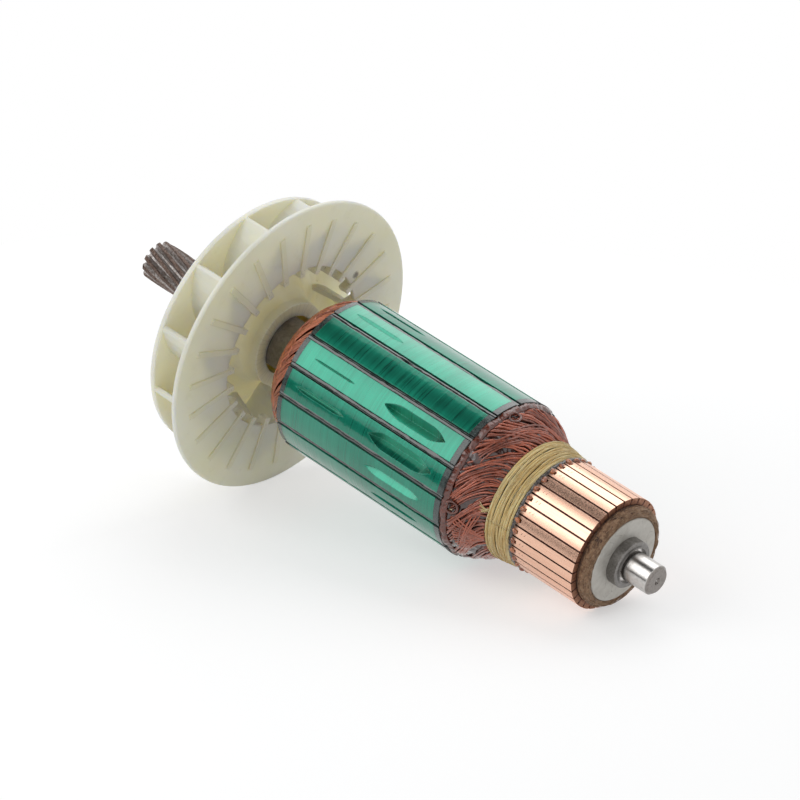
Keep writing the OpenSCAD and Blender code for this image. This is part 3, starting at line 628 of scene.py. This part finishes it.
def spot(x, t, px, pt, dx, dt):
    d = ((x - px) / dx) ** 2 + (((t - pt + 180) % 360 - 180) / dt) ** 2
    return np.exp(-d * 1.2)


def winding_front():
    rng = random.Random(11)
    mesh, mesh2 = Mesh(), Mesh()
    s = np.linspace(0, 1, 44)
    x = 60.35 - 13.0 * s
    ease = 0.62 * s + 0.38 * smooth(0, 1, s)
    for k in range(BARS):
        t0 = SLOT_T + k * 11.25
        sweep = 34 + rng.uniform(-4, 5)
        lift = rng.uniform(-0.25, 0.2) + (0.12 if k % 2 else -0.1)
        lean = rng.uniform(-1.6, 1.6)
        for layer in (0, 1):
            for j in range(4):
                u = (j - 1.5 + (0.5 if layer else 0.0)) * 0.84
                ph = rng.uniform(0, TAU)
                swirl = rng.uniform(0.5, 1.3)
                across = u + 0.45 * np.sin(s * TAU * swirl * 0.5 + ph) + lean * np.sin(s * 3.1)
                base_r = front_r(x)
                t = t0 + sweep * ease + np.degrees(across / base_r) / math.cos(math.radians(47))
                p = ring_point(x, base_r, t)
                n = wob(p, 0.33, 1 + layer) * 0.42 + wob(p, 0.9, 3 + k + j) * 0.12
                crown = -0.22 * (u / 1.3) ** 2
                drop = 2.6 * (1 - smooth(0, 0.2, s))
                r = base_r - 0.42 - 0.62 * layer + lift + crown + n - drop
                r = np.minimum(r, base_r - 0.15)
                for hx, ht, dx, dt in HOLES:
                    r = r - 2.3 * spot(x, t, hx, ht, dx, dt)
                r = np.maximum(r, 19.6)
                tone = 0.5 + rng.uniform(-0.35, 0.35) - 0.3 * spot(x, t, 57.4, 42, 3, 9)
                (mesh if layer == 0 else mesh2).tube(ring_point(x, r, t), 0.37, 6, np.clip(tone, 0, 1))
    # one lead spreads its wires over its neighbours
    for j in range(13):
        q = j / 12
        t1 = -39 + 33 * q + rng.uniform(-0.7, 0.7)
        s2 = np.linspace(0, 1, 30)
        x2 = 57.2 - 9.8 * s2 - 1.4 * (2 * q - 1) ** 2 * (1 - s2)
        t2 = t1 + (-22.5 - t1) * (1 - (1 - s2) ** 1.25) + (q - 0.5) * 3
        p = ring_point(x2, front_r(x2), t2)
        r2 = front_r(x2) - 0.22 - 0.5 * (1 - smooth(0, 0.12, s2)) + wob(p, 0.6, 40 + j) * 0.18
        mesh.tube(ring_point(x2, r2, t2), 0.35, 6, 0.62 + rng.uniform(-0.25, 0.3))
    # a few turns cross the others
    for t1, xa, xb, dt in ((40, 56.5, 51.0, 42), (66, 54.5, 50.2, 46), (150, 57, 50, 40), (205, 56, 51, 38),
                           (260, 57, 50.5, 44), (320, 55.5, 50.8, 40), (8, 57.5, 52, 24)):
        for j in range(4):
            s2 = np.linspace(0, 1, 36)
            x2 = xa + (xb - xa) * s2 + 0.8 * (j - 1.5) + 0.3 * np.sin(s2 * 5 + j)
            t2 = t1 + dt * s2 + rng.uniform(-1, 1)
            p = ring_point(x2, front_r(x2), t2)
            r2 = front_r(x2) - 0.05 - 1.1 * (1 - np.sin(s2 * math.pi) ** 0.5) + wob(p, 0.6, 60 + j) * 0.15
            mesh.tube(ring_point(x2, r2, t2), 0.36, 6, 0.5 + rng.uniform(-0.3, 0.3))
    mesh.make("front_wires", wire_mat.m, "coil_wire", stands_for=["coil_bundles_front"])
    mesh2.make("front_wires_deep", wire_mat.m, "coil_wire")

    skin = Mesh()

    def fill(p, xx, tt):
        h = -1.02 + 0.5 * wob(p, 0.30, 5) + 0.18 * wob(p, 0.9, 6)
        for px, pt, dx, dt in POOLS:
            h = h + 0.75 * spot(xx, tt, px, pt, dx, dt)
        for hx, ht, dx, dt in HOLES:
            h = h - 2.6 * spot(xx, tt, hx, ht, dx, dt)
        return np.minimum(h, -0.12)

    xs = np.linspace(47.3, 60.6, 56)
    skin.lathe(xs, front_r(xs), 420, fill)
    skin.make("front_varnish", dark_varnish.m, "varnished_coils", stands_for=["head_core_front"])


def resin_lumps():
    mesh = Mesh()
    ang = np.linspace(0, math.pi, 13)
    xs = X_PLATE + 0.05 - 2.0 * np.sin(ang) ** 0.8
    rs = 24.9 + (CORE_R - 0.25 - 24.9) * (0.5 + 0.5 * np.cos(ang))

    def lump(p, xx, tt):
        near = 0.45 + 0.55 * np.cos(np.radians((tt - SLOT_T) * SLOTS))
        h = 0.55 * wob(p, 0.28, 7) + 0.35 * wob(p, 0.75, 8) - 0.35 * near
        return np.minimum(h, 0.25) - 0.15

    mesh.lathe(xs, rs, 512, lump)
    mesh.make("resin_lumps", red_resin.m, "red_resin", stands_for=["resin_ring"])
    # rims and paper ends at the open slots
    rims, sticks = Mesh(), Mesh()
    for i, (hx, ht, dx, dt) in enumerate(HOLES):
        q = np.linspace(0, TAU, 49)
        rr = front_r(np.full(49, hx)) - 0.55
        x = hx + dx * 1.12 * np.cos(q)
        t = ht + dt * 0.98 * np.sin(q)
        p = ring_point(x, rr, t)
        r = front_r(x) - 0.45 + 0.25 * wob(p, 0.5, 9 + i)
        rims.tube(ring_point(x, r, t), 0.40 + 0.14 * wob(p, 0.7, 12), 8, 0.5)
        if i in (0, 2):
            s2 = np.linspace(0, 1, 8)
            sticks.tube(ring_point(hx + 1.5 - 2.0 * s2, 24.6 + 0.7 * s2, ht - 4.2 + 3.0 * s2), 0.28, 5, 0.5,
                        flat=0.5)
    rims.make("slot_rims", red_resin.m, "red_resin")
    sticks.make("liner_ends", stick_mat.m, "liner_paper")


# ----------------------------------------------------------- drive-end winding
def winding_rear():
    rng = random.Random(23)
    mesh, skin = Mesh(), Mesh()
    RX = np.array([0.1, 1.2, 3.0, 5.0, 7.4, 9.6, 11.2, 12.1])
    RR = np.array([25.1, 25.6, 25.2, 24.2, 21.9, 18.6, 15.6, 13.2])
    n = 40
    s = np.linspace(0, 1, n)
    for k in range(SLOTS):
        t0 = SLOT_T + k * 22.5
        for j in range(10):
            u = (j - 4.5) * 0.86
            depth = s * (11.9 - 0.25 * abs(j - 4.5))
            rr = np.interp(depth, RX, RR)
            turn = -(66 + rng.uniform(-4, 4)) * (0.25 * s + 0.75 * s ** 1.7)
            t = t0 + turn + np.degrees(u / 25.0) + 1.2 * np.sin(s * 5 + j)
            p = ring_point(X_HEAD2 + depth, rr, t)
            r = rr - 0.45 - 1.6 * (1 - smooth(0, 0.12, s)) + 0.22 * wob(p, 0.35, 20) + 0.1 * wob(p, 0.9,
                                                                                                 21 + j)
            r = r + (0.15 if k % 2 else -0.15)
            mesh.tube(ring_point(X_HEAD2 + depth, r, t), 0.34, 6, 0.62 + rng.uniform(-0.3, 0.3))
    # turns laid across from slot to slot
    for k in range(SLOTS):
        for j in range(5):
            t1 = SLOT_T + k * 22.5 + 4 + j * 1.7
            s2 = np.linspace(0, 1, 44)
            rad = 24.9 - 6.6 * np.sin(s2 * math.pi) ** 1.3 - 0.55 * j * np.sin(s2 * math.pi)
            dep = np.interp(-rad, -RR, RX) + 0.15
            t2 = t1 - 112 * s2
            p = ring_point(X_HEAD2 + dep, rad, t2)
            lift = 0.18 * wob(p, 0.4, 30 + k) - 0.7 * (1 - np.sin(s2 * math.pi) ** 0.35)
            pts = ring_point(X_HEAD2 + dep + 0.25 * np.sin(s2 * math.pi), rad + lift, t2)
            mesh.tube(pts, 0.33, 6, 0.66 + rng.uniform(-0.3, 0.3))
    mesh.make("rear_wires", wire_rear.m, "coil_wire", stands_for=["coil_bundles_rear"])
    xs = np.concatenate([RX, [12.6, 12.7]])
    rs = np.concatenate([RR - 0.75, [11.4, 10.1]])
    fine = np.linspace(0, 1, 40)
    ix = np.linspace(0, 1, len(xs))

    def fill(p, xx, tt):
        return 0.30 * wob(p, 0.35, 25) - 0.15

    skin.lathe(X_HEAD2 + np.interp(fine, ix, xs), np.interp(fine, ix, rs), 300, fill)
    skin.make("rear_varnish", dark_varnish.m, "varnished_coils", stands_for=["head_core_rear"])


wire_rear = enamel("coil_wire", (0.11, 0.02, 0.01), (0.60, 0.17, 0.075))


# ----------------------------------------------------------------------- twine
def twine():
    rng = random.Random(5)
    mesh, fuzz = Mesh(), Mesh()
    turns = 9
    pitch = (X_TWINE_END - X_TWINE) / turns
    n = 110

    def seat(x):
        return 18.62 + 1.22 * (x - X_TWINE) / (X_TWINE_END - X_TWINE)

    for k in range(turns):
        tq = np.linspace(0, 360, n)
        wander = 0.28 * rng.uniform(0.4, 1) if 0 < k < turns - 1 else 0.0
        xc = X_TWINE + pitch * (k + 0.5) + 0.18 * np.sin(np.radians(tq) * 2 + k * 1.7) * (0 < k < turns - 1)
        p0 = ring_point(xc, 20.0, tq)
        xc = xc + wander * wob(p0, 0.12, 2 + k)
        xc = np.clip(xc, X_TWINE + 0.47, X_TWINE_END - 0.47)
        rc = seat(xc) + 0.42 + 0.10 * wob(p0, 0.2, 12 + k)
        xc[-1], rc[-1] = xc[0], rc[0]
        plies = 4
        for j in range(plies):
            a = np.radians(4 * tq + j * 360 / plies + k * 40)
            x = xc + 0.26 * np.cos(a)
            r = rc + 0.20 * np.sin(a)
            mesh.tube(ring_point(x, r, tq), 0.255, 6, 0.5 + rng.uniform(-0.25, 0.25))
    # loose fibres lying along the turns
    for i in range(520):
        t1 = rng.uniform(0, 360)
        x1 = rng.uniform(X_TWINE + 0.25, X_TWINE_END - 0.25)
        span = rng.uniform(4, 22)
        q = np.linspace(0, 1, 9)
        x = x1 + rng.uniform(-0.5, 0.5) * q + 0.08 * np.sin(q * 9 + i)
        x = np.clip(x, X_TWINE + 0.05, X_TWINE_END - 0.02)
        r = seat(x) + 0.82 + 0.13 * np.sin(q * math.pi) * rng.uniform(0.2, 1.6)
        fuzz.tube(ring_point(x, r, t1 + span * q), rng.uniform(0.035, 0.075), 4, rng.uniform(0.3, 1.0))
    # stray hairs that stand off the edges
    for i in range(90):
        t1 = rng.uniform(0, 360)
        edge = rng.choice((X_TWINE + 0.2, X_TWINE_END - 0.2))
        way = -1 if edge < X_TWINE + 1 else 1
        q = np.linspace(0, 1, 7)
        x = edge + way * rng.uniform(0.0, 0.7) * q
        r = seat(edge) + 0.6 + rng.uniform(-0.2, 0.5) * q - 0.3 * q * q
        fuzz.tube(ring_point(x, r, t1 + rng.uniform(-4, 8) * q), rng.uniform(0.03, 0.05), 4,
                  rng.uniform(0.4, 1.0))
    mesh.make("twine_turns", twine_mat.m, "twine", stands_for=["binding_twine"])
    fuzz.make("twine_fibres", twine_mat.m, "twine")
    # the frayed ends
    frays = Mesh()
    for x0, r0, t1, way, count, long in ((47.0, 20.6, 9.5, 1, 26, 3.6), (38.9, 19.4, -9.0, -1, 12, 1.4)):
        for i in range(count):
            q = np.linspace(0, 1, 9)
            fan = rng.uniform(-1, 1)
            x = x0 + way * long * rng.uniform(0.65, 1.05) * q + 0.2 * fan * q
            t = t1 + rng.uniform(-1.5, 1.5) + 7.0 * fan * q ** 1.3 - 2.0 * q
            r = r0 + rng.uniform(-0.25, 0.2) + 0.9 * np.sin(q * 2.2) * (0.6 + 0.4 * fan) + 0.5 * q * (way > 0)
            frays.tube(ring_point(x, r, t), rng.uniform(0.05, 0.13) * (1 - 0.5 * q), 5, rng.uniform(0.2, 0.9))
    frays.make("twine_frays", twine_mat.m, "twine", stands_for=["twine_tail"])


# ------------------------------------------------------- beads and burnt varnish
def beads():
    rng = random.Random(31)
    mesh, dark = Mesh(), Mesh()
    lat, lon = 9, 14
    for k in range(BARS):
        t0 = BAR_T + k * 360 / BARS + rng.uniform(-0.5, 0.5)
        x0 = X_BAR_END - 1.05 + rng.uniform(-0.2, 0.25)
        sx, st, sr = rng.uniform(0.85, 1.15), rng.uniform(0.75, 1.0), rng.uniform(0.75, 1.1)
        th = np.linspace(0, math.pi * 0.55, lat)
        ph = np.linspace(0, TAU, lon, endpoint=False)
        TH, PH = np.meshgrid(th, ph, indexing="ij")
        bulge = 1 + 0.16 * np.sin(PH * 2 + k) + 0.08 * np.sin(PH * 3 + k * 2)
        x = x0 + sx * np.sin(TH) * np.cos(PH) * bulge
        t = t0 + np.degrees(st * np.sin(TH) * np.sin(PH) * bulge / TRACK_R)
        r = TRACK_R - 0.15 + sr * np.cos(TH) * (1 + 0.06 * np.sin(PH * 2))
        idx = np.arange(TH.size).reshape(TH.shape)
        nxt = np.roll(idx, -1, 1)
        f = np.stack([idx[:-1], nxt[:-1], nxt[1:], idx[1:]], -1).reshape(-1, 4)
        mesh.add(ring_point(x, r, t).reshape(-1, 3), f[:, ::-1], rng.uniform(0, 1))
    mesh.make("bead_drops", amber_mat.m, "bead_varnish", stands_for=["riser_beads"])

    def rough(p, xx, tt):
        return 0.22 * wob(p, 0.9, 33) + 0.16 * wob(p, 2.1, 34)

    ang = np.linspace(0, math.pi, 12)
    xs = X_BAR_END - 0.75 + 0.75 * (1 - np.cos(ang))
    rs = TRACK_R - 0.55 + 0.85 * np.sin(ang) ** 0.7
    dark.lathe(xs, rs, 620, rough)
    dark.make("burnt_varnish", grey_varnish.m, "tape")


# ------------------------------------------------------------------ fibre ring
def fibre_ring():
    rng = random.Random(41)
    mesh, hairs = Mesh(), Mesh()
    prof = np.array([[X_WASHER + 0.9, WASHER_R + 0.04], [X_WASHER + 0.25, WASHER_R + 0.25],
                     [X_WASHER + 0.05, WASHER_R + 0.9],
                     [X_WASHER + 0.3, 15.9], [X_WASHER + 0.9, 16.6], [X_WASHER + 1.9, 17.0], [X_BAR - 1.0,
                                                                                              16.9],
                     [X_BAR - 0.3, 16.5], [X_BAR + 0.4, 16.3]])
    q = np.linspace(0, len(prof) - 1, 34)
    k = np.arange(len(prof))
    xs, rs = np.interp(q, k, prof[:, 0]), np.interp(q, k, prof[:, 1])

    def ragged(p, xx, tt):
        inner = smooth(WASHER_R + 0.1, WASHER_R + 0.9, np.hypot(p[:, 1], p[:, 2]))
        return inner * (0.42 * wob(p, 0.45, 43) + 0.26 * wob(p, 1.2, 44) + 0.12 * wob(p, 2.6,
                                                                                      45)) - 0.1 * inner

    mesh.lathe(xs, rs, 520, ragged)
    mesh.make("fibre_skin", fibre_mat.m, "fibre")
    for i in range(900):
        t1 = rng.uniform(0, 360)
        u = rng.uniform(0.05, 0.95)
        n = 7
        s = np.linspace(0, 1, n)
        along = u + rng.uniform(-0.05, 0.05) * s
        qq = np.clip(along, 0, 1) * (len(prof) - 1)
        x = np.interp(qq, k, prof[:, 0]) - 0.10 - 0.12 * rng.random() * np.sin(s * math.pi)
        r = np.interp(qq, k, prof[:, 1]) + rng.uniform(-0.12, 0.22) + 0.15 * rng.uniform(-1, 1) * s
        hairs.tube(ring_point(x, r, t1 + rng.uniform(2, 9) * s), rng.uniform(0.04, 0.10), 4,
                   rng.uniform(0.2, 1.0))
    hairs.make("fibre_hairs", fibre_mat.m, "fibre")


# --------------------------------------------------------------- slot varnish
def slot_varnish():
    mesh = Mesh()
    xs = np.linspace(X_PLATE - 0.02, X_HEAD2 + 0.02, 150)
    half = 0.93
    cross = np.linspace(-1, 1, 9)
    for k in range(SLOTS):
        t0 = SLOT_T + k * 360 / SLOTS
        X, U = np.meshgrid(xs, cross, indexing="ij")
        top = CORE_R - 0.50 + 0.30 * (1 - U ** 2)
        p = np.stack([X, U + 40 * k, np.zeros_like(X)], -1).reshape(-1, 3)
        n = 0.16 * wob(p * np.array([0.35, 1, 1]), 0.5, k) + 0.09 * wob(p, 0.6, 50 + k)
        gap = 0.28 * smooth(0.25, 0.6, wob(p * np.array([0.3, 0.0, 0]), 0.4, 80 + k))
        R = top + (n - gap).reshape(X.shape) * (1 - 0.55 * U ** 2)
        R = np.minimum(R, CORE_R + 0.02)
        T = t0 + np.degrees(U * half / CORE_R)
        pts = ring_point(X, R, T)
        idx = np.arange(X.size).reshape(X.shape)
        a, b, c, d = idx[:-1, :-1], idx[1:, :-1], idx[1:, 1:], idx[:-1, 1:]
        mesh.add(pts.reshape(-1, 3), np.stack([a, d, c, b], -1).reshape(-1, 4), 0.5)
    mesh.make("slot_varnish", black_resin.m, "wedge_resin", stands_for=["slot_wedges"])


winding_front()
resin_lumps()
winding_rear()
twine()
beads()
fibre_ring()
slot_varnish()


# ---------------------------------------------------------- floor, light, camera
FAN_RIM = 0.9
FLOOR_X, FLOOR_LONG, FLOOR_WIDE = 100.0, 300.0, 260.0
FLOOR_GLOW = 0.50
SLOPE = (SHROUD_R - TRACK_R) / (X_SHROUD + FAN_RIM - X_BAR)
LENS = 193.55
CAMERA_AT = (-0.62555, 0.91281, 0.68687)
CAMERA_RIGHT = (-0.70881, -0.68699, 0.16014)
CAMERA_UP = (0.45397, -0.27049, 0.84897)


def floor_z(x):
    """Height of the floor in mm. The part lies on its fan and commutator, so the floor slopes."""
    return -TRACK_R - SLOPE * (x - X_BAR)


def card(name, corners, mat):
    me = bpy.data.meshes.new(name)
    me.from_pydata([tuple(Vector(c) * MM) for c in corners], [], [tuple(range(len(corners)))])
    me.materials.append(mat)
    ob = bpy.data.objects.new(name, me)
    bpy.context.scene.collection.objects.link(ob)
    return ob


def empty_tree(owner):
    owner.use_nodes = True
    owner.node_tree.nodes.clear()
    return owner.node_tree


def by_ray(t, light, seen, output):
    """Camera, glossy and transmission rays meet seen, and all others meet light."""
    path = t.nodes.new("ShaderNodeLightPath")
    share = path.outputs["Is Camera Ray"]
    for kind in ("Is Glossy Ray", "Is Transmission Ray"):
        most = t.nodes.new("ShaderNodeMath")
        most.operation = "MAXIMUM"
        t.links.new(share, most.inputs[0])
        t.links.new(path.outputs[kind], most.inputs[1])
        share = most.outputs[0]
    both = t.nodes.new("ShaderNodeMixShader")
    t.links.new(share, both.inputs[0])
    t.links.new(light.outputs[0], both.inputs[1])
    t.links.new(seen.outputs[0], both.inputs[2])
    t.links.new(both.outputs[0], t.nodes.new(output).inputs[0])


def floor():
    mat = bpy.data.materials.new("pale_floor")
    t = empty_tree(mat)
    plain = t.nodes.new("ShaderNodeBsdfDiffuse")
    plain.inputs[0].default_value = (0.86, 0.86, 0.86, 1)
    soft = t.nodes.new("ShaderNodeBsdfDiffuse")
    soft.inputs[0].default_value = (0.62, 0.62, 0.62, 1)
    glow = t.nodes.new("ShaderNodeEmission")
    glow.inputs[1].default_value = FLOOR_GLOW
    seen = t.nodes.new("ShaderNodeAddShader")
    t.links.new(soft.outputs[0], seen.inputs[0])
    t.links.new(glow.outputs[0], seen.inputs[1])
    by_ray(t, plain, seen, "ShaderNodeOutputMaterial")
    pts, n = [], 96
    for i in range(n):
        a0 = TAU * i / n
        x = FLOOR_X + FLOOR_LONG * math.cos(a0)
        pts.append((x, FLOOR_WIDE * math.sin(a0), floor_z(x) - 0.05))
    card("floor", pts, mat)


def world():
    w = bpy.data.worlds.new("studio")
    bpy.context.scene.world = w
    t = empty_tree(w)
    fill = t.nodes.new("ShaderNodeBackground")
    fill.inputs[0].default_value = (0.97, 0.985, 1.0, 1)
    fill.inputs[1].default_value = 0.42
    white = t.nodes.new("ShaderNodeBackground")
    white.inputs[0].default_value = (1, 1, 1, 1)
    white.inputs[1].default_value = 1.0
    by_ray(t, fill, white, "ShaderNodeOutputWorld")


def softbox(name, where, size, radiance, tint=(1, 1, 1)):
    d = bpy.data.lights.new(name, "AREA")
    d.shape, d.size, d.size_y = "RECTANGLE", size[0], size[1]
    d.energy = radiance * math.pi * size[0] * size[1]
    d.color = tint
    ob = bpy.data.objects.new(name, d)
    bpy.context.scene.collection.objects.link(ob)
    ob.location = where
    back = (Vector(where) - Vector((0.1, 0, 0))).normalized()
    xax = (Vector((1, 0, 0)) - back * back.x).normalized()
    yax = back.cross(xax)
    ob.matrix_world = Matrix.Translation(where) @ Matrix((xax, yax, back)).transposed().to_4x4()
    return ob


def flags():
    """Dark studio flags that leave a dark band in the metal's gloss."""
    mat = bpy.data.materials.new("flag")
    mat.use_nodes = True
    b = mat.node_tree.nodes["Principled BSDF"]
    b.inputs["Base Color"].default_value = (0.05, 0.05, 0.052, 1)
    b.inputs["Roughness"].default_value = 0.9
    over = card("flag_overhead", [(-900, -90, 900), (1900, -90, 900), (1900, 360, 900), (-900, 360, 900)],
                mat)
    y = 1300.0
    side = card("flag_side", [(-900, y, floor_z(-900) - 80), (2300, y, floor_z(2300) - 80),
                              (2300, y, floor_z(2300) + 250), (-900, y, floor_z(-900) + 250)], mat)
    for ob in (over, side):
        ob.visible_camera = False
        ob.visible_shadow = False
        ob.visible_diffuse = False


def camera():
    data = bpy.data.cameras.new("camera")
    data.sensor_width = 36.0
    data.lens = LENS
    data.clip_start, data.clip_end = 0.05, 20
    ob = bpy.data.objects.new("camera", data)
    bpy.context.scene.collection.objects.link(ob)
    right = Vector(CAMERA_RIGHT).normalized()
    up = Vector(CAMERA_UP)
    up = (up - right * up.dot(right)).normalized()
    back = right.cross(up)
    turned = Matrix((right, up, back)).transposed().to_4x4()
    ob.matrix_world = Matrix.Translation(CAMERA_AT) @ turned
    bpy.context.scene.camera = ob


floor()
world()
softbox("softbox_front", (0.62, 0.74, 0.56), (1.25, 0.78), 1.45, (1.0, 0.995, 0.985))
softbox("softbox_back", (0.55, -0.60, 0.80), (1.25, 0.80), 1.45, (1.0, 1.0, 1.0))
flags()
camera()
bpy.context.scene.view_settings.view_transform = "Standard"
